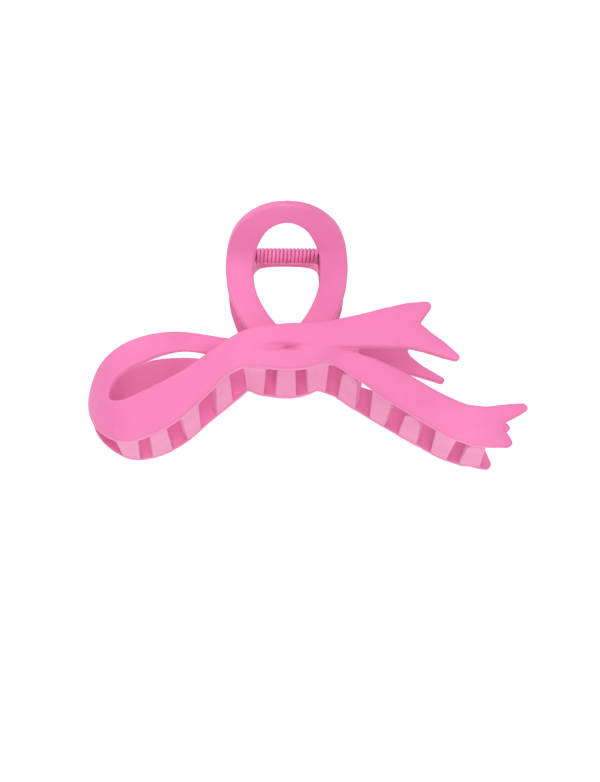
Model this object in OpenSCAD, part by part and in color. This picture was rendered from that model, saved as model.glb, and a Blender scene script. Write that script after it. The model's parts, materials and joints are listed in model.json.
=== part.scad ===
// Bow-shaped claw hair clip: two mirrored jaws on a hinge pin, closed by a torsion spring.
//
// The clip lies on the back of its rear jaw, with its front face up (+Z), its finger loops
// towards +Y and its long ribbon tails towards +X. Every piece is drawn in the clip's own
// frame and then laid down by lay_down(). In that frame the hinge axis is the X axis, Y points
// up through the finger loops and Z points out of the front face.

/* [Clip] */
// Width across the bow loop and the longest tail
clip_w = 114; // [104:1:120]
// Depth of the closed clip over its two jaw plates
jaw_depth = 36; // [34:1:40]
// Depth over the tops of the two finger loops
handle_depth = 54.4; // [50:0.2:58]
// Thickness of the bow's moulded plates
plate_t = 3; // [2.6:0.1:3.2]
// Thickness of the finger loops
loop_t = 2.5; // [2.2:0.1:2.8]

/* [Teeth] */
// Teeth on each jaw
teeth_per_jaw = 6; // [4:1:6]
// Spacing of the teeth of one jaw
tooth_pitch = 16.4; // [15.6:0.1:16.4]
// Width of a tooth where it leaves the plate
tooth_root_w = 5.4; // [4.8:0.1:5.8]
// Width of a tooth near its tip
tooth_tip_w = 3.8; // [3.4:0.1:4.4]
// Thickness of a tooth
tooth_t = 2.4; // [2:0.1:2.8]
// Gap between a tooth tip and the plate it faces
tip_gap = 0.8; // [0.7:0.1:1.2]

/* [Hinge] */
// Radius of the hinge pin
pin_r = 1; // [0.9:0.05:1.1]
// Radius of the lugs round the pin
lug_r = 3.2; // [3:0.1:3.4]
// Thickness of each lug
lug_t = 2.2; // [2:0.1:2.4]
// Distance from the middle to the inner face of the front lugs
lug_x = 9.2; // [9.1:0.1:9.4]
// Side gap between a front lug and its rear neighbour
lug_gap = 0.4; // [0.3:0.05:0.5]

/* [Spring] */
// Diameter of the spring wire
wire_d = 0.9; // [0.8:0.05:0.95]
// Outer diameter of the spring's coils
coil_d = 4.4; // [4.2:0.1:4.8]
// Full turns of the spring
coil_turns = 16; // [12:1:16]

/* [Hidden] */
$fn = 48;

curve_steps = 3;
drawn_w = 114;
size_k = clip_w / drawn_w;
jaw_half = jaw_depth / 2;
handle_half = handle_depth / 2;
knot_rise = 1.4;

// Ribbons of the bow: each entry is [x, y, width] on the ribbon's middle line.
back_strand = [
    [-6, -29.5, 5], [-17, -28, 5.2], [-27.5, -27.7, 5.4], [-37.5, -29.8, 6],
    [-45, -34.3, 5.6], [-48.2, -41, 5.2], [-46.6, -46, 7.6], [-41, -48, 10.6],
    [-33, -44.2, 11.6]
];
front_strand = [
    [-46, -46.8, 8], [-40.5, -47.9, 10.8], [-32.6, -44.2, 11.6], [-24.8, -38.4, 9.8],
    [-17.3, -32.6, 9], [-9, -28.2, 8.6], [0, -25.6, 5.8], [9, -25.2, 6],
    [18, -24.2, 7.6], [26, -23, 9.4], [33, -23.1, 11.4]
];
lower_tail = [
    [3, -30.5, 5], [12, -32.4, 4.8], [19.5, -34, 7.2], [28, -38.8, 8.4],
    [37, -44, 8.8], [44.5, -47.8, 9.6], [51, -49.2, 10.4], [56, -49.2, 11.4]
];

// Swallow-tail ends, each from its upper root round both points to its lower root.
upper_tail_end = [
    [30, -17.6], [36.8, -17.3], [37.8, -18.4], [34.9, -22.4], [39.4, -26], [43, -29.4],
    [44.9, -31.9], [44, -32.6], [39.4, -31.1], [35.6, -29.7], [30, -28.7]
];
lower_tail_end = [
    [53, -43.7], [61.2, -43.2], [62.3, -44.4], [57, -48.1], [58.5, -53.8], [57.4, -55],
    [53, -54.6]
];

// Round boss of the knot, and the right halves of the finger loop's two outlines.
knot_outline = [
    [-11.4, -28], [-10.4, -33], [-5, -34.3], [5, -34.4], [10.6, -33], [12, -28.4],
    [7.5, -24.5], [0, -23.6], [-7.5, -24.5]
];
loop_outer = [
    [0, 7.8], [5, 7.3], [9.5, 5.2], [13, 2.6], [15, -0.6], [15.7, -5.5], [15.2, -12.5],
    [13.4, -18.4], [10.6, -24], [6, -28]
];
loop_hole = [
    [0, 3.1], [4.8, 1.7], [8, -1.4], [9, -6], [8.2, -12.5], [5.6, -18.6], [2.6, -23]
];

// Side profile of the finger loop's outer face: [y, z] from the knot up to its flared top.
neck_z = 12.8;
loop_profile = [
    [-30, jaw_half - 0.5], [-22, 15.2], [-15, neck_z + 0.4], [-8, neck_z],
    [-4, neck_z + 0.8], [-0.6, handle_half - 10.2], [3, handle_half - 4.6],
    [6, handle_half]
];

// Plan profile of the bow's face: [x, z] from the bow loop, which curls in at its end.
bow_profile = [
    [-52.5, jaw_half - 9.5], [-48.5, jaw_half - 4.5], [-44, jaw_half - 1],
    [-38, jaw_half], [64, jaw_half]
];

// Lower edge of the jaw, which carries the teeth.
jaw_edge = [
    [-50, -47], [-46, -51.6], [-40, -53.4], [-34.5, -52.8], [-30, -50.2], [-22, -42.5],
    [-14.8, -36.2], [-11, -34.2], [-5, -34.4], [5, -34.5], [11, -33.4], [18.5, -37.4],
    [27.3, -43.4], [38.8, -50.1], [46, -54], [54, -54.8]
];
jaw_low_y = -53.6;

front_bore_r = pin_r + 0.05;
pin_hold = 0.02;
lug_step = lug_t + lug_gap;
pin_half = lug_x + lug_step + lug_t;
head_r = pin_r + 0.7;
head_t = 0.6;

coil_r = (coil_d - wire_d) / 2;
coil_half = lug_x - wire_d / 2 - 0.2;
leg_tip = [-12.6, neck_z - loop_t - wire_d / 2 - 0.2];
leg_out = 1;
leg_bend = 0.55;
wire_sides = 6;
turn_steps = 12;

// The clip lies on its rear finger loop's top and its rear lower tail. tail_low_y is that
// tail's lowest point, and middle is the middle of the clip's outline.
loop_top_y = 6;
tail_low_y = -55;
lie_tilt = atan((handle_half - jaw_half) / (loop_top_y - jaw_low_y * size_k));
middle = [5.6 * size_k, -22.7 * size_k];
lift = jaw_half * cos(lie_tilt) - tail_low_y * size_k * sin(lie_tilt);

// Catmull-Rom curve through a list of points of any size.
function curve_point(a, b, c, d, t) =
    0.5 * (2 * b + (c - a) * t + (2 * a - 5 * b + 4 * c - d) * t * t
    + (3 * b - a - 3 * c + d) * t * t * t);
function open_curve(p, steps) = [
    for (i = [0 : len(p) - 2]) for (s = [0 : steps - 1])
        curve_point(p[max(i - 1, 0)], p[i], p[i + 1], p[min(i + 2, len(p) - 1)], s / steps),
    p[len(p) - 1]
];
function closed_curve(p, steps) = let (n = len(p)) [
    for (i = [0 : n - 1]) for (s = [0 : steps - 1])
        curve_point(p[(i + n - 1) % n], p[i], p[(i + 1) % n], p[(i + 2) % n], s / steps)
];
function reversed(p) = [for (i = [len(p) - 1 : -1 : 0]) p[i]];
function unit(v) = v / norm(v);
function flat(p) = [p.x, p.y];
function heading(path, i) =
    unit(flat(path[min(i + 1, len(path) - 1)]) - flat(path[max(i - 1, 0)]));
function left_of(v) = [-v.y, v.x];
function ribbon_side(path, side) = [
    for (i = [0 : len(path) - 1])
        flat(path[i]) + side * path[i].z / 2 * left_of(heading(path, i))
];
function ribbon_outline(path) = concat(ribbon_side(path, 1), reversed(ribbon_side(path, -1)));
function mirrored_outline(right) = concat(
    right, [for (i = [len(right) - 1 : -1 : 1]) [-right[i].x, right[i].y]]
);

module lay_down() {
    translate([-middle.x, -middle.y, lift]) rotate([lie_tilt, 0, 0]) children();
}

// Section of a bent sheet, from its face down to t behind it.
module sheet_section(face, t) {
    back = [for (i = [0 : len(face) - 1]) face[i] - t * left_of(heading(face, i))];
    polygon(concat(face, reversed(back)));
}

module ribbon(controls) {
    polygon(ribbon_outline(open_curve(controls, curve_steps)));
}

// Bow: the outlines of its ribbons cut through a sheet that curls in at the bow loop's end.
module bow_plate() {
    intersection() {
        linear_extrude(handle_half) scale(size_k) {
            ribbon(back_strand);
            ribbon(front_strand);
            ribbon(lower_tail);
            polygon(upper_tail_end);
            polygon(lower_tail_end);
        }
        translate([0, clip_w / 2, 0]) rotate([90, 0, 0]) linear_extrude(2 * clip_w)
            scale([size_k, 1]) sheet_section(bow_profile, plate_t);
    }
}

// Round boss of the knot, proud of the ribbons.
module knot() {
    translate([0, 0, jaw_half - plate_t]) linear_extrude(plate_t + knot_rise)
        scale(size_k) polygon(closed_curve(knot_outline, curve_steps));
}

// Finger loop: its outline cut through a sheet that leans outwards above the hinge.
module finger_loop() {
    intersection() {
        linear_extrude(handle_half + plate_t) scale(size_k) difference() {
            polygon(mirrored_outline(open_curve(loop_outer, curve_steps)));
            polygon(mirrored_outline(open_curve(loop_hole, curve_steps)));
        }
        translate([-clip_w / 2, 0, 0]) rotate([90, 0, 90]) linear_extrude(clip_w)
            sheet_section(open_curve(loop_profile, curve_steps), loop_t);
    }
}

// Tooth at x: it leaves the jaw's lower edge and reaches back to the other jaw.
module tooth(x) {
    low = lookup(x - 1, jaw_edge);
    high = lookup(x + 1, jaw_edge);
    reach = jaw_half - plate_t - tip_gap;
    root = jaw_half - plate_t / 2;
    tip_r = tooth_tip_w / 2;
    translate([x * size_k, (low + high) / 2 * size_k, 0])
        rotate([0, 0, atan2(high - low, 2)])
            translate([0, tooth_t, 0]) rotate([90, 0, 0]) linear_extrude(tooth_t) {
                polygon([
                    [-tooth_root_w / 2, root], [tooth_root_w / 2, root],
                    [tip_r, tip_r - reach], [-tip_r, tip_r - reach]
                ]);
                translate([0, tip_r - reach]) circle(tip_r);
            }
}

module teeth(first_x) {
    for (i = [0 : teeth_per_jaw - 1])
        tooth(first_x + i * tooth_pitch);
}

// Lug from the loop's neck to the hinge axis, with its inner face at x and a bore for the pin.
module lug(x, bore_r) {
    translate([x, 0, 0]) rotate([90, 0, 90]) linear_extrude(lug_t) difference() {
        union() {
            circle(lug_r);
            polygon([
                [lug_r * cos(40), lug_r * sin(40)], [-3.6, neck_z - 0.4],
                [-11, neck_z - 1.3], [-lug_r * cos(25), -lug_r * sin(25)]
            ]);
        }
        circle(bore_r);
    }
}

module lug_pair(inner_x, bore_r) {
    lug(inner_x, bore_r);
    mirror([1, 0, 0]) lug(inner_x, bore_r);
}

// One moulded jaw, as the front half.
module jaw(first_tooth_x, lug_inner_x, bore_r) {
    bow_plate();
    knot();
    finger_loop();
    teeth(first_tooth_x);
    lug_pair(lug_inner_x, bore_r);
}

module front_half() {
    color("hotpink") lay_down()
        jaw(-2.5 * tooth_pitch, lug_x, front_bore_r);
}

module rear_half() {
    color("deeppink") lay_down() mirror([0, 0, 1])
        jaw(-2 * tooth_pitch, lug_x + lug_step, pin_r - pin_hold);
}

module hinge_pin() {
    color("silver") lay_down() rotate([0, 90, 0]) {
        cylinder(h = 2 * pin_half, r = pin_r, center = true);
        for (side = [-1, 1])
            translate([0, 0, side * (pin_half + head_t / 2)])
                cylinder(h = head_t, r = head_r, center = true);
    }
}

// Close-wound coil round the pin. Its left leg bears on the front half's neck and its right
// leg on the rear half's, so the spring holds the jaws shut.
function coil_at(x, angle) = [x, coil_r * sin(angle), coil_r * cos(angle)];
function spring_path() =
    let (
        leg_angle = acos(coil_r / norm(leg_tip)) - atan2(-leg_tip.x, leg_tip.y),
        sweep = 360 * coil_turns + 180 - 2 * leg_angle,
        steps = coil_turns * turn_steps,
        start = coil_at(-coil_half, leg_angle),
        end = coil_at(coil_half, 180 - leg_angle),
        left_tip = [-coil_half - leg_out, leg_tip.x, leg_tip.y],
        right_tip = [coil_half + leg_out, leg_tip.x, -leg_tip.y],
        straight = [-leg_out * leg_bend, 0, 0]
    )
    concat(
        [left_tip, start + leg_bend * (left_tip - start) - straight],
        [for (i = [0 : steps])
            coil_at(coil_half * (2 * i / steps - 1), leg_angle + sweep * i / steps)],
        [end + leg_bend * (right_tip - end) + straight, right_tip]
    );

// Round wire swept along a path, kept square to it at every point.
module wire(path, r) {
    n = len(path);
    rings = [
        for (i = [0 : n - 1])
            let (
                t = unit(path[min(i + 1, n - 1)] - path[max(i - 1, 0)]),
                out = unit(cross(t, [1, 0, 0])),
                up = cross(t, out)
            )
            for (k = [0 : wire_sides - 1])
                path[i] + r * (cos(360 * k / wire_sides) * out + sin(360 * k / wire_sides) * up)
    ];
    sides = [
        for (i = [0 : n - 2]) for (k = [0 : wire_sides - 1])
            let (a = i * wire_sides + k, b = i * wire_sides + (k + 1) % wire_sides)
            [a, b, b + wire_sides, a + wire_sides]
    ];
    first = [for (k = [wire_sides - 1 : -1 : 0]) k];
    last = [for (k = [0 : wire_sides - 1]) (n - 1) * wire_sides + k];
    polyhedron(points = rings, faces = concat([first], sides, [last]), convexity = 8);
}

module torsion_spring() {
    color("palevioletred") lay_down() wire(spring_path(), wire_d / 2);
}

front_half();
rear_half();
hinge_pin();
torsion_spring();
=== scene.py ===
"""Looks for the bow-shaped claw hair clip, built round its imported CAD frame.

Each jaw is one smooth moulding. Its shapes are written as signed distances, in millimetres, in
the clip's own frame: x across, u up through the finger loops, w out of the front face, with the
hinge on the x axis. They are blended, meshed, and laid down where the CAD jaw lies.
"""
import json
import math

import bpy
import numpy as np
from mathutils import Matrix, Vector


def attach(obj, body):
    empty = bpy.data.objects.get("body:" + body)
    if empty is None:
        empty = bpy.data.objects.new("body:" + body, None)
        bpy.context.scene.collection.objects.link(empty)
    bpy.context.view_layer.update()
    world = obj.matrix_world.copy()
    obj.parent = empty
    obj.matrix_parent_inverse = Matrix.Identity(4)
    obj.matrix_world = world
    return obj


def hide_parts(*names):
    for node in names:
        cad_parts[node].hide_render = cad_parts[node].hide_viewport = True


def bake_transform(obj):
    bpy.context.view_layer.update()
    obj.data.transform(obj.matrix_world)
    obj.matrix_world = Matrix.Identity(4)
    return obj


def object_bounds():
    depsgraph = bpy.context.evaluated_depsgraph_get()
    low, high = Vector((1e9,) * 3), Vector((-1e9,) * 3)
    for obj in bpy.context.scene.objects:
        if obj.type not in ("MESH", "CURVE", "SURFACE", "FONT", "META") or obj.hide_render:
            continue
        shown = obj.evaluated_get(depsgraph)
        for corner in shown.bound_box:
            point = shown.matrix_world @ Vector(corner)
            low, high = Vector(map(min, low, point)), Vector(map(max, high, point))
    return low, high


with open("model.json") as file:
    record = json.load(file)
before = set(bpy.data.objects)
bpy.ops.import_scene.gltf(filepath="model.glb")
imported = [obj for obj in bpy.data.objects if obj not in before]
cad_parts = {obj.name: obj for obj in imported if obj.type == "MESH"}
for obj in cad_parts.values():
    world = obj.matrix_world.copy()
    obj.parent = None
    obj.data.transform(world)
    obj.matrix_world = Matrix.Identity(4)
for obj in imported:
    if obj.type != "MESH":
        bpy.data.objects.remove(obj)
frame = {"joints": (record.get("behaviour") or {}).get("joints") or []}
cad_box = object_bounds()

MM = 0.001
CELL = 0.34      # mesh cell of the jaws
FAR = 4.0                               # distance kept where no shape is near

# Driving sizes of the clip, in millimetres.
JAW_HALF = 18.0
PLATE_T = 3.0
LOOP_T = 2.5
TEETH = 6
TOOTH_PITCH = 16.4
TOOTH_ROOT_W = 6.0
FRONT_TOOTH_TIP_W = 4.9
REAR_TOOTH_TIP_W = 4.7
TOOTH_T = 2.4
TOOTH_SUNK = 0.9                        # how deep below its jaw's face a tooth begins
TOOTH_CORNER_R = 0.5                    # of a tip, seen from outside the teeth
TOOTH_EDGE_R = 0.34
TOOTH_SPREAD = 0.035                    # how much wider the row of teeth is at the rear jaw
TONGUE_X = 10                           # rear teeth beyond this are round-ended tongues
TONGUE_LENGTH = 7.0
TIP_GAP = 0.2                           # from a tooth's tip to the other jaw's plate
PIN_R = 1.0
BORE_R = 1.05
LUG_R = 3.2
LUG_T = 2.2
LUG_X = 9.2
LUG_STEP = 2.6                          # the rear lugs stand this far outside the front ones
NECK_W = 12.8                           # where the finger loop dips deepest
HEAD_R = PIN_R + 0.7
HEAD_T = 0.6                            # whole height of a pin's head
HEAD_RIM = 0.25                         # height of its straight rim
WIRE_R = 0.51
COIL_R = 1.75
COIL_TURNS = 16
COIL_HALF = 8.55
LEG_TIP_U = -12.6
LEG_GAP = 0.2                           # from a leg's tip to the back of its finger loop
LEG_BOW = 0.36                          # how far a leg bows outwards
LOOP_TOP = (6.0, 27.2)                  # (u, w) of the finger loop's upper edge
REST_LOW_U = -53.6                      # u of the rear tail's end, which touches the table

# Ribbons of the bow: (x, u, width) on the ribbon's middle line.
FRONT_BACK_STRAND = [
    (-6, -29.8, 5), (-17, -28.4, 5), (-27.5, -27.2, 5.2), (-37.5, -29.5, 6.5),
    (-45.4, -34.2, 6.4), (-48.7, -41, 6), (-46.8, -46, 7.8), (-41, -48, 10.6),
    (-34.5, -45.2, 10),
]
REAR_BACK_STRAND = [
    (-6, -30.2, 5), (-17, -29, 5), (-27.5, -28, 5.3), (-37.5, -30.3, 7.9),
    (-44.9, -34.8, 7.4), (-48.6, -41, 6.4), (-47.4, -46.4, 8.2), (-41, -48.3, 11.2),
    (-34.5, -45.6, 10.6),
]
FRONT_MAIN_STRAND = [
    (-46, -46.8, 8), (-40.5, -47.9, 10.8), (-32.5, -44.4, 11.1), (-24.4, -38.8, 9.1),
    (-17.1, -32.8, 7.6), (-9, -28.4, 8.6), (0, -25.6, 5.9), (9, -25.5, 6.5),
    (18, -24.5, 8.3), (26, -23.3, 9.9),
]
REAR_MAIN_STRAND = [
    (-46.4, -47, 8.4), (-40.5, -48.1, 11.7), (-32.3, -44.7, 12.6), (-24.4, -39, 10.9),
    (-16.6, -33.6, 9.1), (-9, -28.4, 7.4), (0, -25.6, 5.9), (9, -25.5, 6.5),
    (18, -24.5, 8.3), (26, -23.4, 10.1),
]
FRONT_LOWER_TAIL = [
    (4, -30.6, 4), (12, -31.3, 3.4), (19, -33.6, 6.3), (28, -38.6, 8.4),
    (37, -44, 8.8), (44.5, -47.8, 9.6), (49.5, -49.1, 10.3),
]
REAR_LOWER_TAIL = [
    (4, -30.6, 4), (12, -32.2, 6.2), (16, -33.9, 6.1), (20, -36.4, 6.4), (28, -40.1, 8.5),
    (37, -44.8, 9.1), (44.5, -48.5, 10), (49.5, -49.9, 10.6),
]

# Swallow-tail ends, drawn TIP_R inside their outlines, which rounds their points.
TIP_R = 0.9
FRONT_UPPER_TAIL_END = [
    (20, -21), (26, -19), (31.5, -17.7), (36.4, -17.3), (36.7, -17.8), (33.9, -21.8),
    (33.9, -22.7), (37, -25.4), (40.3, -27.8), (43.9, -31.1), (41, -30.4), (35.5, -28.7),
    (31.5, -27.8), (20, -27.4),
]
REAR_UPPER_TAIL_END = [
    (20, -21.2), (26, -19.4), (31.5, -18.4), (36.4, -18.2), (36.7, -18.7), (33.4, -22.4),
    (33.1, -23.4), (34.4, -25.4), (37.8, -28.1), (43.4, -31.4), (40.2, -30.4), (35.8, -29.1),
    (31.5, -28.2), (20, -27.6),
]
FRONT_LOWER_TAIL_END = [
    (47.5, -44.8), (50.5, -45), (54, -44.6), (57.4, -44.2), (60.8, -44), (61.2, -44.4),
    (60, -45.2), (56, -47.3), (55.1, -48.4), (55.2, -50.3), (56.5, -52.2), (57.1, -53.4),
    (56.7, -53.7), (51, -53.6), (47.5, -52.9),
]
REAR_LOWER_TAIL_END = [
    (47.5, -44.9), (51, -45), (56, -44.6), (61, -44.2), (61.5, -44.8), (56.2, -47.7),
    (54.4, -49.2), (54.3, -51), (56, -54.9), (55.7, -55.5), (53.7, -55.1), (47.5, -53.3),
]
KNOT = [
    (-11.4, -28), (-11, -33.4), (-5, -34.2), (0, -34.6), (5, -34.2), (10.8, -32.5),
    (14.5, -32.6), (19.5, -32.2), (18.5, -29.9), (19.5, -27.2), (14, -26.5), (7.5, -24.5),
    (0, -23.6), (-7.5, -24.5),
]
BELLY_TOP = -31.5                       # below this the rear knot's outline hangs lower
REAR_BELLY = 1.8

# Right halves of the finger loop's outlines, on its outer face.
LOOP_OUTER = [
    (0, 6), (5.4, 5.5), (10, 3.9), (13.5, 1.4), (15.4, -1.7), (16.1, -5.6), (15.9, -9.5),
    (15.2, -13.5), (13, -18.6), (10, -24), (6, -28),
]
FRONT_LOOP_HOLE = [
    (0, 2.7), (4.6, 1.5), (7.5, -1.5), (8.8, -5.6), (8.1, -12.5), (5.3, -18.6), (2.5, -22.5),
]
REAR_LOOP_HOLE = [
    (0, 2.1), (4.8, 1.8), (7.6, 0.6), (9.1, -2.4), (9.1, -6.5), (8.2, -12.5),
    (5.6, -18.6), (2.9, -22.5),
]
FRONT_LEAN = 0.3                        # its legs lean this far towards the tails
REAR_LEAN = -0.4

# Side view of the finger loop's outer face: (u, w).
LOOP_PROFILE = [
    (-30, 17.5), (-22, 15.2), (-15, NECK_W + 0.4), (-8, NECK_W), (-4, NECK_W + 0.8),
    (-0.6, LOOP_TOP[1] - 10.2), (3, LOOP_TOP[1] - 4.6), LOOP_TOP,
]

# Boxes round a jaw and its parts: the lowest and the highest (x, u, w).
JAW_BOX = ((-54, -58, -16), (64.5, 10, 30))
BACK_STRAND_BOX = ((-53.8, -57, 2), (2, -20, 20))
MAIN_STRAND_BOX = ((-53.8, -57, 2), (48, -14, 21))
LOWER_TAIL_BOX = ((0, -58, 12), (64, -26, 21))
KNOT_BOX = ((-16, -38, 12), (24, -20, 21.5))
LOOP_BOX = ((-19, -30, 9), (19, 10, 30))
BORE_BOX = ((-16, -3, -3), (16, 3, 3))

# Faces of the jaws.
EDGE_R = 0.3
CROWN = 0.5                             # how much lower a ribbon's face is at its rim
CROWN_WIDTH = 2.2
KNOT_EDGE_R = 0.45
KNOT_CROWN = 0.7
LOOP_CROWN = 0.2
LOOP_CROWN_WIDTH = 1.4
CURL_FROM = -38.0                       # beyond this the bow's end curls back
CURL_POWER = 2.6
CURL_RATE = 0.0085


# ---------------------------------------------------------------- frames and curves

# The clip lies on the top of its rear finger loop and on its rear tail.
LIE_TILT = math.atan((LOOP_TOP[1] - JAW_HALF) / (LOOP_TOP[0] - REST_LOW_U))
HINGE = np.array(frame["joints"][0]["pos_m"])


def laid_down(points):
    """Clip-frame points in millimetres, as points of the row's frame in metres."""
    points = np.asarray(points, float)
    cos, sin = math.cos(LIE_TILT), math.sin(LIE_TILT)
    x, u, w = points[:, 0], points[:, 1], points[:, 2]
    return HINGE + MM * np.stack([x, u * cos - w * sin, u * sin + w * cos], 1)


def curve(points, steps, closed=False):
    """Catmull-Rom curve through a list of points of any size."""
    p = np.asarray(points, float)
    if closed:
        p = np.concatenate([p[-1:], p, p[:2]])
    else:
        p = np.concatenate([p[:1], p, p[-1:]])
    t = (np.arange(steps) / steps)[None, :, None]
    a, b, c, d = (p[i:len(p) - 3 + i, None] for i in range(4))
    line = 0.5 * (2 * b + (c - a) * t + (2 * a - 5 * b + 4 * c - d) * t ** 2
                  + (3 * b - a - 3 * c + d) * t ** 3)
    line = line.reshape(-1, p.shape[1])
    return line if closed else np.concatenate([line, p[-2:-1]])


def ramp(x, start, end):
    """Smooth step from 0 at start to 1 at end."""
    t = np.clip((x - start) / (end - start), 0, 1)
    return t * t * (3 - 2 * t)


# ---------------------------------------------------------------- signed distances

def polygon_distance(x, u, polygon):
    """Distance to a polygon, less than 0 inside it."""
    nearest = np.full(np.broadcast(x, u).shape, 1e9)
    inside = np.zeros(nearest.shape, bool)
    for (x0, u0), (x1, u1) in zip(polygon, np.roll(polygon, -1, axis=0)):
        ex, eu = x1 - x0, u1 - u0
        dx, du = x - x0, u - u0
        t = np.clip((dx * ex + du * eu) / (ex * ex + eu * eu + 1e-12), 0, 1)
        nearest = np.minimum(nearest, (dx - t * ex) ** 2 + (du - t * eu) ** 2)
        if eu != 0:
            inside ^= ((u0 > u) != (u1 > u)) & (dx < du * ex / eu)
    return np.where(inside, -1, 1) * np.sqrt(nearest)


def ribbon_distance(x, u, controls):
    """Distance to a ribbon, from the (x, u, width) of its middle line."""
    nearest = np.full(np.broadcast(x, u).shape, 1e9)
    path = curve(controls, 8)
    for (x0, u0, w0), (x1, u1, w1) in zip(path[:-1], path[1:]):
        ex, eu = x1 - x0, u1 - u0
        dx, du = x - x0, u - u0
        t = np.clip((dx * ex + du * eu) / (ex * ex + eu * eu), 0, 1)
        gap = np.hypot(dx - t * ex, du - t * eu) - (w0 + t * (w1 - w0)) / 2
        nearest = np.minimum(nearest, gap)
    return nearest


def rounded_extrusion(side, depth, radius):
    """Distance to an extrusion whose edges are rounded, from its outline's and its depth's."""
    a, b = side + radius, depth + radius
    corner = np.hypot(np.maximum(a, 0), np.maximum(b, 0))
    return corner + np.minimum(np.maximum(a, b), 0) - radius


def smooth_min(a, b, width):
    """Union of two distances, blended where they differ by less than width."""
    near = np.maximum(width - np.abs(a - b), 0) / width
    return np.minimum(a, b) - near * near * width / 4


class Field:
    """Signed distances on a grid, which shapes are added to box by box."""

    def __init__(self, low, high):
        self.low = np.array(low, float)
        count = np.ceil((np.array(high) - self.low) / CELL).astype(int) + 1
        self.value = np.full(count, FAR, np.float32)

    def window(self, low, high):
        """Slices of the grid over a box, and the grid's coordinates in it."""
        first = np.floor((np.array(low) - self.low) / CELL).astype(int)
        last = np.ceil((np.array(high) - self.low) / CELL).astype(int) + 1
        first = np.maximum(first, 0)
        last = np.minimum(last, self.value.shape)
        slices = tuple(slice(a, b) for a, b in zip(first, last))
        axes = [
            (self.low[i] + CELL * np.arange(first[i], last[i])).astype(np.float32)
            for i in range(3)
        ]
        return slices, np.meshgrid(*axes, indexing="ij", sparse=True)

    def add(self, low, high, shape, width):
        """Joins a shape on inside a box, blended with what is there over a width."""
        slices, (x, u, w) = self.window(low, high)
        self.value[slices] = smooth_min(self.value[slices], shape(x, u, w), width)

    def sample(self, points):
        """Trilinear value at points given in cells."""
        base = np.clip(np.floor(points).astype(int), 0, np.array(self.value.shape) - 2)
        part = points - base
        total = 0
        for corner in np.ndindex(2, 2, 2):
            weight = np.prod(np.where(corner, part, 1 - part), axis=1)
            i, j, k = (base + corner).T
            total = total + weight * self.value[i, j, k]
        return total


# ---------------------------------------------------------------- meshing

def surface_net(field):
    """Quad mesh of the field's zero surface: points in cells, and faces."""
    value = field.value
    inside = value < 0
    size = np.array(value.shape)
    stride = np.array([size[1] * size[2], size[2], 1])
    crossings, cells, out_faces = [], [], []
    for axis in range(3):
        b, c = (axis + 1) % 3, (axis + 2) % 3
        near = [slice(None)] * 3
        away = [slice(None)] * 3
        near[axis], away[axis] = slice(0, -1), slice(1, None)
        edge = np.argwhere(inside[tuple(near)] != inside[tuple(away)])
        step = np.eye(3, dtype=int)[axis]
        v0 = value[tuple(edge.T)]
        v1 = value[tuple((edge + step).T)]
        crossings.append(edge + (v0 / (v0 - v1))[:, None] * step)
        ring = []
        for db, dc in ((-1, -1), (0, -1), (0, 0), (-1, 0)):
            cell = edge.copy()
            cell[:, b] += db
            cell[:, c] += dc
            ring.append(cell @ stride)
        ring = np.stack(ring, 1)
        cells.append(ring)
        flip = v0 > 0
        face = ring.copy()
        face[flip] = face[flip][:, ::-1]
        out_faces.append(face)
    cells = np.concatenate(cells)
    crossings = np.repeat(np.concatenate(crossings), 4, axis=0)
    names, index = np.unique(cells.ravel(), return_inverse=True)
    index = index.ravel()
    shares = np.bincount(index)
    points = np.stack([np.bincount(index, crossings[:, i]) / shares for i in range(3)], 1)
    faces = np.searchsorted(names, np.concatenate(out_faces))
    return points, faces


def relaxed(field, points, faces, rounds):
    """Evens the mesh out, and puts it back on the field's surface each time."""
    edges = np.concatenate([faces[:, [i, (i + 1) % 4]] for i in range(4)])
    degree = np.bincount(edges[:, 0], minlength=len(points))
    reach = 0.5                             # of the slope's samples and of one move, in cells
    for _ in range(rounds):
        total = np.stack([
            np.bincount(edges[:, 0], points[edges[:, 1], i], minlength=len(points))
            for i in range(3)
        ], 1)
        points = 0.5 * points + 0.5 * total / degree[:, None]
        slope = np.stack([
            (field.sample(points + reach * e) - field.sample(points - reach * e)) / (2 * reach)
            for e in np.eye(3)
        ], 1)
        steep = np.maximum((slope ** 2).sum(1), 0.05)
        move = (field.sample(points) / steep)[:, None] * slope
        points = points - np.clip(move, -reach, reach)
    return points


def new_piece(name, points, faces, material):
    """Smooth piece from points in the clip's frame."""
    mesh = bpy.data.meshes.new(name)
    mesh.from_pydata(laid_down(points).tolist(), [], faces)
    mesh.polygons.foreach_set("use_smooth", [True] * len(mesh.polygons))
    mesh.materials.append(material)
    mesh.update()
    piece = bpy.data.objects.new(name, mesh)
    bpy.context.scene.collection.objects.link(piece)
    return piece


# ---------------------------------------------------------------- the jaws

def plate(outline, face, edge_r=EDGE_R, crown=CROWN, rim=None):
    """Plate from its outline's distance(x, u) and its face's height(x, u).

    The face is lower by crown at the rim, which is the outline's unless another is given.
    """
    rim = rim or outline

    def shape(x, u, w):
        flat_x, flat_u = x[:, :, 0], u[:, :, 0]
        side = outline(flat_x, flat_u)
        reach = np.maximum(CURL_FROM - flat_x, 0)
        lower = CURL_RATE * reach ** CURL_POWER
        cosine = 1 / np.hypot(1, CURL_POWER * CURL_RATE * reach ** (CURL_POWER - 1))
        rim_gap = np.minimum(rim(flat_x, flat_u), 0)
        top = face(flat_x, flat_u) - lower - crown * np.exp(rim_gap / CROWN_WIDTH)
        back = JAW_HALF - lower - PLATE_T / cosine
        depth = np.maximum(w - top[:, :, None], back[:, :, None] - w) * cosine[:, :, None]
        return rounded_extrusion(side[:, :, None], depth, edge_r)
    return shape


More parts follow.
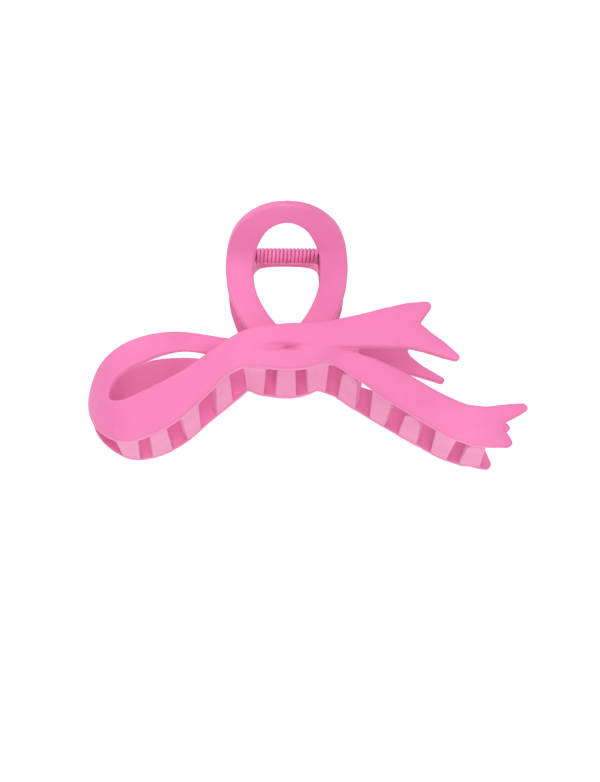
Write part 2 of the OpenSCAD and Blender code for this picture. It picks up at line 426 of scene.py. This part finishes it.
def main_strand_face(x, u):
    """Face of the strand on top: raised over the knot, and sunk along its lower edge there."""
    sunk = 0.9 * np.exp(-((x + 1) / 6) ** 2) * ramp(-u, 25.6, 28.6)
    return JAW_HALF + 1.3 * ramp(x, -30, -12) * (1 - ramp(x, 8, 26)) - sunk


def back_strand_face(x, u):
    """Face of the strand behind, which dips under the knot."""
    return JAW_HALF - 1.4 * ramp(x, -33, -23)


def lower_tail_face(x, u):
    """Face of the lower tail, which comes out from under the knot."""
    return JAW_HALF - 0.8 * (1 - ramp(x, 12, 22))


def knot_face(x, u):
    """Face of the knot: a short crease in its middle, and lower between the two tails."""
    crease = np.exp(-((x + 1) / 4.5) ** 2) * np.exp(-((u + 28.8) / 0.7) ** 2)
    return JAW_HALF + 1.2 - 2.2 * crease - 1.9 * ramp(x, 9, 17)


def tail_end(points):
    """Swallow-tail end, with its points rounded."""
    return lambda x, u: polygon_distance(x, u, np.array(points, float)) - TIP_R


def ribbon(controls):
    """Flat ribbon along its (x, u, width) points."""
    return lambda x, u: ribbon_distance(x, u, controls)


def either(a, b):
    """Two flat shapes as one."""
    return lambda x, u: smooth_min(a(x, u), b(x, u), 0.6)


def mirrored_curve(right):
    """Curve from the lower left end over the top to the lower right one, from its right half."""
    right = np.asarray(right)
    return curve(np.concatenate([right[:0:-1] * (-1, 1), right]), 8)


def finger_loop(x, u, w, hole_points, lean):
    """Bent sheet: its outline lies along the arc of its side profile."""
    # The profile, run on straight at both ends, and its length up to each of its points.
    profile = curve(LOOP_PROFILE, 8)
    first = profile[0] + 4 * (profile[0] - profile[1])
    last = profile[-1] + 12 * (profile[-1] - profile[-2])
    profile = np.concatenate([[first], profile, [last]])
    arc = np.concatenate([[0], np.cumsum(np.hypot(*np.diff(profile, axis=0).T))])

    # How far along the profile each point of the (u, w) plane lies, and how far in front of it.
    grid_u, grid_w = u[0, :, :], w[0, :, :]
    nearest = np.full(np.broadcast(grid_u, grid_w).shape, 1e9)
    along = np.zeros(nearest.shape)
    proud = np.zeros(nearest.shape)
    for i in range(len(profile) - 1):
        (u0, w0), (u1, w1) = profile[i], profile[i + 1]
        length = arc[i + 1] - arc[i]
        eu, ew = (u1 - u0) / length, (w1 - w0) / length
        t = np.clip((grid_u - u0) * eu + (grid_w - w0) * ew, 0, length)
        du, dw = grid_u - u0 - t * eu, grid_w - w0 - t * ew
        gap = np.hypot(du, dw)
        closer = gap < nearest
        nearest = np.where(closer, gap, nearest)
        along = np.where(closer, arc[i] + t, along)
        proud = np.where(closer, np.where(dw * eu - du * ew > 0, gap, -gap), proud)

    def unrolled(points):
        outline = mirrored_curve(points)
        order = np.argsort(profile[:, 0])
        outline[:, 1] = np.interp(outline[:, 1], profile[order, 0], arc[order])
        return outline

    # The sheet's flat shape, then looked up where the profile puts it.
    lanes = np.arange(-2, arc[-1] + 2, CELL / 2)
    flat_x, flat_s = np.meshgrid(x[:, 0, 0], lanes, indexing="ij")
    lane_u = np.interp(flat_s, arc, profile[:, 0])
    flat_x = flat_x - lean * ramp(-lane_u, 12, 24)
    outer = polygon_distance(flat_x, flat_s, unrolled(LOOP_OUTER))
    hole = polygon_distance(flat_x, flat_s, unrolled(hole_points))
    flat = np.maximum(outer, -hole)
    place = (along - lanes[0]) / (CELL / 2)
    low = np.clip(np.floor(place).astype(int), 0, len(lanes) - 2)
    part = (place - low)[None]
    side = flat[:, low] * (1 - part) + flat[:, low + 1] * part
    crown = LOOP_CROWN * np.exp(np.minimum(side, 0) / LOOP_CROWN_WIDTH)
    depth = np.maximum(proud[None] + crown, -LOOP_T - proud[None])
    return rounded_extrusion(side, depth, EDGE_R)


def low_edge(outline, x):
    """Height of an outline's lower edge at x."""
    heights = np.linspace(-58, -28, 601)
    inside = outline(np.full(len(heights), x), heights) < 0
    return heights[np.argmax(inside)]


def tooth(at_x, facing, outline, far_outline):
    """Box and shape of a tooth, flush with its jaw's lower edge and the other jaw's."""
    near_u, far_u = low_edge(outline, at_x), low_edge(far_outline, at_x)
    angle = math.atan2(low_edge(outline, at_x + 1.5) - low_edge(outline, at_x - 1.5), 3)
    cos, sin = math.cos(angle), math.sin(angle)
    root = JAW_HALF - TOOTH_SUNK
    tip = TIP_GAP - (JAW_HALF - PLATE_T)
    tip_w = FRONT_TOOTH_TIP_W if facing > 0 else REAR_TOOTH_TIP_W
    tongue = facing < 0 and at_x > TONGUE_X

    def shape(x, u, w):
        along = np.clip((root - w) / (root - tip), 0, 1)
        spread = TOOTH_SPREAD * (along if facing > 0 else 1 - along)
        from_x = x - at_x * (1 + spread)
        from_u = u - near_u - (far_u - near_u) * along
        across = from_x * cos + from_u * sin
        above = from_u * cos - from_x * sin
        half = (TOOTH_ROOT_W + (tip_w - TOOTH_ROOT_W) * along) / 2
        if tongue:
            to_end = np.clip((tip + TONGUE_LENGTH - w) / TONGUE_LENGTH, 0, 1)
            half = half * np.sqrt(1 - to_end ** 2)
        side = rounded_extrusion(np.abs(across) - half, tip - w, TOOTH_CORNER_R)
        side = np.maximum(side, w - root)
        flat_x, flat_u = x[:, :, 0], u[:, :, 0]
        near, far = outline(flat_x, flat_u), far_outline(flat_x, flat_u)
        inward = (far - near)[:, :, None] * -along - near[:, :, None]
        depth = np.abs(inward - TOOTH_T / 2) - TOOTH_T / 2
        # The upper edges of the strands have no teeth.
        depth = np.maximum(depth, above - TOOTH_T - 0.6)
        return rounded_extrusion(side, depth, TOOTH_EDGE_R)

    # A box with room for the tooth's lean and blends.
    low_corner = (at_x - 7, min(near_u, far_u) - 4, tip - 2)
    high_corner = (at_x + 7, max(near_u, far_u) + 6, root + 2)
    return low_corner, high_corner, shape


def lug(inner_x, sign):
    """Box and shape of an arm from the finger loop's back to a round eye on the hinge."""
    arm = [
        (LUG_R * math.cos(math.radians(40)), LUG_R * math.sin(math.radians(40))),
        (-3.6, NECK_W - 0.4), (-11, NECK_W - 1.3),
        (-LUG_R * math.cos(math.radians(25)), -LUG_R * math.sin(math.radians(25))),
    ]
    middle = sign * (inner_x + LUG_T / 2)

    def shape(x, u, w):
        section = polygon_distance(u[0], w[0], np.array(arm))
        section = np.minimum(section, np.hypot(u[0], w[0]) - LUG_R)
        return rounded_extrusion(section[None], np.abs(x - middle) - LUG_T / 2, EDGE_R)

    return (middle - 3, -13, -5), (middle + 3, 5, NECK_W + 2), shape


def knot_outline(belly):
    """Outline of the knot, with its lower part hanging lower by up to belly."""
    x, u = curve(KNOT, 8, closed=True).T
    low = ramp(-u, -BELLY_TOP, 2 - BELLY_TOP)
    middle = ramp(x, -13, -6) * (1 - ((x + 1) / 17) ** 2)
    return np.stack([x, u - belly * low * middle], 1)


def jaw_outlines(main_strand, upper_end, back_strand, lower_tail, lower_end, belly):
    """Distances of the bow's parts, and of its whole outline, for one jaw."""
    upper = either(ribbon(main_strand), tail_end(upper_end))
    lower = either(ribbon(lower_tail), tail_end(lower_end))
    back = ribbon(back_strand)
    knot_line = knot_outline(belly)

    def knot(x, u):
        return polygon_distance(x, u, knot_line)

    def whole(x, u):
        return np.minimum(np.minimum(upper(x, u), lower(x, u)), np.minimum(back(x, u), knot(x, u)))

    return upper, lower, back, knot, whole


def jaw_field(facing, outlines, far_outline, loop_shape, first_tooth_x, lug_inner_x):
    """One jaw, as if it faced the front: the last number of each part is its blend's width."""
    field = Field(*JAW_BOX)
    upper, lower, back, knot, whole = outlines

    def joined(strand):
        """The strand's own distance, turning into both strands' where the bow's end joins them."""
        def distance(x, u):
            own = strand(x, u)
            both = smooth_min(upper(x, u), back(x, u), 2)
            return own + (both - own) * (1 - ramp(x, -40, -28))
        return distance

    field.add(*BACK_STRAND_BOX, plate(back, back_strand_face, rim=joined(back)), 0.1)
    field.add(*LOWER_TAIL_BOX, plate(lower, lower_tail_face), 0.3)
    field.add(*KNOT_BOX, plate(knot, knot_face, KNOT_EDGE_R, KNOT_CROWN), 1.0)
    field.add(*LOOP_BOX, lambda x, u, w: finger_loop(x, u, w, *loop_shape), 0.6)
    field.add(*MAIN_STRAND_BOX, plate(upper, main_strand_face, rim=joined(upper)), 0.6)
    for i in range(TEETH):
        at_x = first_tooth_x + i * TOOTH_PITCH
        field.add(*tooth(at_x, facing, whole, far_outline), 0.7)
    for sign in (-1, 1):
        field.add(*lug(lug_inner_x, sign), 0.8)
    slices, (x, u, w) = field.window(*BORE_BOX)
    field.value[slices] = np.maximum(field.value[slices], BORE_R - np.hypot(u, w))
    return field


def make_jaw(name, body, node, facing, field, material):
    """Meshes a jaw; the rear one, with facing -1, is turned to face the back."""
    points, faces = surface_net(field)
    points = relaxed(field, points, faces, 2)
    points = field.low + CELL * points
    points[:, 2] *= facing
    if facing < 0:
        faces = faces[:, ::-1]
    piece = new_piece(name, points, faces.tolist(), material)
    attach(piece, body)
    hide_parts(node)


# ---------------------------------------------------------------- pin and spring

def tube(rings):
    """Points and faces of a tube through rings of points, closed at both ends."""
    count, sides = rings.shape[:2]
    faces = [tuple(range(sides))[::-1]]
    for i in range(count - 1):
        for k in range(sides):
            a, b = i * sides + k, i * sides + (k + 1) % sides
            faces.append((a, b, b + sides, a + sides))
    faces.append(tuple(range((count - 1) * sides, count * sides)))
    return rings.reshape(-1, 3), faces


def turns(sides):
    """Angles of the corners of a ring."""
    return 2 * math.pi * np.arange(sides) / sides


def hinge_pin(material):
    """Shaft with a domed head at each end and a small fillet under it."""
    half = LUG_X + LUG_STEP + LUG_T
    right = [(0, PIN_R), (half - 0.08, PIN_R), (half, PIN_R + 0.06), (half, HEAD_R - 0.1),
             (half + 0.1, HEAD_R)]
    for angle in np.linspace(0, math.pi / 2, 7):
        right.append((half + HEAD_RIM + (HEAD_T - HEAD_RIM) * math.sin(angle),
                      0.05 + (HEAD_R - 0.05) * math.cos(angle)))
    outline = [(-x, r) for x, r in right[:0:-1]] + right
    turn = turns(32)
    rings = [np.stack([0 * turn + x, r * np.cos(turn), r * np.sin(turn)], 1) for x, r in outline]
    piece = new_piece("hinge_pin_turned", *tube(np.array(rings)), material)
    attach(piece, "rear")
    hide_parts("hinge_pin")


def spring_path():
    """Middle line of the wire: left leg, close-wound coil, right leg."""
    tip_w = NECK_W - LOOP_T - WIRE_R - LEG_GAP
    leg_angle = math.acos(COIL_R / math.hypot(LEG_TIP_U, tip_w)) - math.atan2(-LEG_TIP_U, tip_w)
    sweep = 2 * math.pi * COIL_TURNS + math.pi - 2 * leg_angle
    steps = COIL_TURNS * 28
    coil = []
    for i in range(steps + 1):
        angle = leg_angle + sweep * i / steps
        coil.append((COIL_HALF * (2 * i / steps - 1), COIL_R * math.sin(angle),
                     COIL_R * math.cos(angle)))
    coil = np.array(coil)

    def leg(end, side, w_sign):
        """Leg from the coil's end to the back of a finger loop, bowed outwards."""
        tip = np.array([side * (COIL_HALF + 1), LEG_TIP_U, w_sign * tip_w])
        bow = np.array([LEG_BOW * side, 0, 0])
        t = np.linspace(0, 1, 15)[1:, None]
        return end + t * (tip - end) + bow * np.sin(math.pi * t)

    return np.concatenate([leg(coil[0], -1, 1)[::-1], coil, leg(coil[-1], 1, -1)])


def torsion_spring(material):
    """Coated wire, rounded off at the tips of both legs."""
    path = spring_path()
    ahead = np.gradient(path, axis=0)
    ahead /= np.linalg.norm(ahead, axis=1)[:, None]
    out = np.cross(ahead, (1, 0, 0))
    out /= np.linalg.norm(out, axis=1)[:, None]
    up = np.cross(ahead, out)
    turn = turns(10)[None, :, None]
    radius = np.full((len(path), 1, 1), WIRE_R)
    radius[[0, -1]] *= 0.7
    rings = path[:, None] + radius * (np.cos(turn) * out[:, None] + np.sin(turn) * up[:, None])
    piece = new_piece("spring_wire", *tube(rings), material)
    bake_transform(piece)
    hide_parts("torsion_spring")


# ---------------------------------------------------------------- materials

def linear(red, green, blue):
    """Display colour of 0 to 255 as a linear one."""
    return tuple((c / 255 / 12.92) if c < 10 else ((c / 255 + 0.055) / 1.055) ** 2.4
                 for c in (red, green, blue)) + (1.0,)


def new_material(name):
    material = bpy.data.materials.new(name)
    material.use_nodes = True
    nodes = material.node_tree.nodes
    return material, nodes, material.node_tree.links, nodes["Principled BSDF"]


def object_place(nodes):
    return nodes.new("ShaderNodeTexCoord").outputs["Object"]


def noise(nodes, links, place, scale, detail):
    node = nodes.new("ShaderNodeTexNoise")
    node.inputs["Scale"].default_value = scale
    node.inputs["Detail"].default_value = detail
    links.new(place, node.inputs["Vector"])
    return node


def feed(nodes, links, source, target, stops):
    """Sets a shader socket from a texture, through a ramp of (position, colour) stops."""
    node = nodes.new("ShaderNodeValToRGB")
    elements = node.color_ramp.elements
    while len(elements) < len(stops):
        elements.new(0.5)
    for element, (position, colour) in zip(elements, stops):
        element.position = position
        element.color = colour
    links.new(source.outputs["Fac"], node.inputs["Fac"])
    links.new(node.outputs["Color"], target)


def add_bump(nodes, links, source, shader, distance):
    bump = nodes.new("ShaderNodeBump")
    bump.inputs["Strength"].default_value = 0.1
    bump.inputs["Distance"].default_value = distance
    links.new(source.outputs["Fac"], bump.inputs["Height"])
    links.new(bump.outputs["Normal"], shader.inputs["Normal"])


def grey(level):
    return (level, level, level, 1.0)


def soft_touch_plastic(name):
    """Pink moulded plastic with a fine soft-touch grain and faint flow clouds."""
    material, nodes, links, shader = new_material(name)
    place = object_place(nodes)
    clouds = noise(nodes, links, place, 45, 3)
    feed(nodes, links, clouds, shader.inputs["Base Color"],
         [(0.3, linear(223, 112, 166)), (0.5, linear(228, 119, 172)),
          (0.72, linear(233, 124, 177))])
    wear = noise(nodes, links, place, 130, 4)
    feed(nodes, links, wear, shader.inputs["Roughness"], [(0.3, grey(0.46)), (0.7, grey(0.58))])
    grain = noise(nodes, links, place, 4200, 2)
    add_bump(nodes, links, grain, shader, 0.00006)
    shader.inputs["Specular IOR Level"].default_value = 0.32
    shader.inputs["Sheen Weight"].default_value = 0.14
    shader.inputs["Sheen Roughness"].default_value = 0.5
    return material


def coated_wire():
    """Spring wire in a thin pink coating, a little glossier than the plastic."""
    material, nodes, links, shader = new_material("coated_wire")
    patches = noise(nodes, links, object_place(nodes), 600, 3)
    feed(nodes, links, patches, shader.inputs["Base Color"],
         [(0.3, linear(222, 114, 168)), (0.7, linear(240, 140, 192))])
    feed(nodes, links, patches, shader.inputs["Roughness"],
         [(0.3, grey(0.3)), (0.7, grey(0.42))])
    add_bump(nodes, links, patches, shader, 0.00005)
    return material


def turned_steel():
    """Pin steel with fine turning marks round its axis."""
    material, nodes, links, shader = new_material("turned_steel")
    wave = nodes.new("ShaderNodeTexWave")
    wave.bands_direction = "X"
    wave.inputs["Scale"].default_value = 1400
    wave.inputs["Distortion"].default_value = 2
    links.new(object_place(nodes), wave.inputs["Vector"])
    feed(nodes, links, wave, shader.inputs["Base Color"],
         [(0, (0.26, 0.24, 0.25, 1)), (1, (0.38, 0.36, 0.37, 1))])
    feed(nodes, links, wave, shader.inputs["Roughness"], [(0, grey(0.24)), (1, grey(0.36))])
    shader.inputs["Metallic"].default_value = 1.0
    return material


# ---------------------------------------------------------------- stage, lights and camera

FLOOR_HALF = 1.5
FLOOR_GAP = 0.0002                      # keeps the clip from cutting into the floor
LIGHT_TARGET = (0, 0, 0.02)
CAMERA_PLACE = (-0.00776, -0.14587, 0.41453)
CAMERA_TARGET = (-0.00185, -0.01412, 0.02048)
CAMERA_LENS = 71.3


def floor():
    """White table under the clip, glowing so that it stays white."""
    material, _, _, shader = new_material("white_floor")
    shader.inputs["Base Color"].default_value = grey(0.15)
    shader.inputs["Roughness"].default_value = 0.9
    shader.inputs["Emission Color"].default_value = grey(1.0)
    shader.inputs["Emission Strength"].default_value = 1.0
    mesh = bpy.data.meshes.new("floor")
    signs = ((-1, -1), (1, -1), (1, 1), (-1, 1))
    corners = [(FLOOR_HALF * x, FLOOR_HALF * y, 0) for x, y in signs]
    mesh.from_pydata(corners, [], [(0, 1, 2, 3)])
    mesh.materials.append(material)
    piece = bpy.data.objects.new("floor", mesh)
    bpy.context.scene.collection.objects.link(piece)
    piece.location.z = cad_box[0][2] - FLOOR_GAP


def area_light(name, place, size, power):
    """Round soft light, aimed at the clip."""
    data = bpy.data.lights.new(name, "AREA")
    data.shape = "DISK"
    data.size = size
    data.energy = power
    light = bpy.data.objects.new(name, data)
    bpy.context.scene.collection.objects.link(light)
    light.location = place
    direction = Vector(LIGHT_TARGET) - light.location
    light.rotation_euler = direction.to_track_quat("-Z", "Y").to_euler()


def lights():
    """Even white surroundings, and soft lights beyond the loops, above and beyond the tails."""
    world = bpy.data.worlds.new("studio")
    world.use_nodes = True
    background = world.node_tree.nodes["Background"]
    background.inputs["Color"].default_value = grey(1.0)
    background.inputs["Strength"].default_value = 0.45
    bpy.context.scene.world = world
    area_light("key", (-0.30, 0.38, 0.50), 0.40, 2.0)
    area_light("front", (0.10, -0.10, 0.62), 0.50, 1.45)
    area_light("low_front", (0.02, -0.52, 0.34), 0.45, 1.15)


def camera():
    """Looks down at the clip from just below its tails, with the finger loops at the top."""
    data = bpy.data.cameras.new("camera")
    data.lens = CAMERA_LENS
    data.sensor_width = 36
    data.clip_start = 0.01
    piece = bpy.data.objects.new("camera", data)
    bpy.context.scene.collection.objects.link(piece)
    piece.location = CAMERA_PLACE
    forward = (Vector(CAMERA_TARGET) - piece.location).normalized()
    right = forward.cross(Vector((0, 1, 0))).normalized()
    up = right.cross(forward)
    basis = ((right.x, up.x, -forward.x), (right.y, up.y, -forward.y),
             (right.z, up.z, -forward.z))
    piece.rotation_euler = Matrix(basis).to_euler()
    bpy.context.scene.camera = piece
    bpy.context.scene.view_settings.view_transform = "Standard"


# ---------------------------------------------------------------- the clip

front_outlines = jaw_outlines(FRONT_MAIN_STRAND, FRONT_UPPER_TAIL_END, FRONT_BACK_STRAND,
                              FRONT_LOWER_TAIL, FRONT_LOWER_TAIL_END, 0)
rear_outlines = jaw_outlines(REAR_MAIN_STRAND, REAR_UPPER_TAIL_END, REAR_BACK_STRAND,
                             REAR_LOWER_TAIL, REAR_LOWER_TAIL_END, REAR_BELLY)
front_field = jaw_field(1, front_outlines, rear_outlines[-1], (FRONT_LOOP_HOLE, FRONT_LEAN),
                        -2.5 * TOOTH_PITCH, LUG_X)
make_jaw("front_jaw", "front", "front_half", 1, front_field,
         soft_touch_plastic("front_plastic"))
rear_field = jaw_field(-1, rear_outlines, front_outlines[-1], (REAR_LOOP_HOLE, REAR_LEAN),
                       -2 * TOOTH_PITCH, LUG_X + LUG_STEP)
make_jaw("rear_jaw", "rear", "rear_half", -1, rear_field,
         soft_touch_plastic("rear_plastic"))
hinge_pin(turned_steel())
torsion_spring(coated_wire())
floor()
lights()
camera()
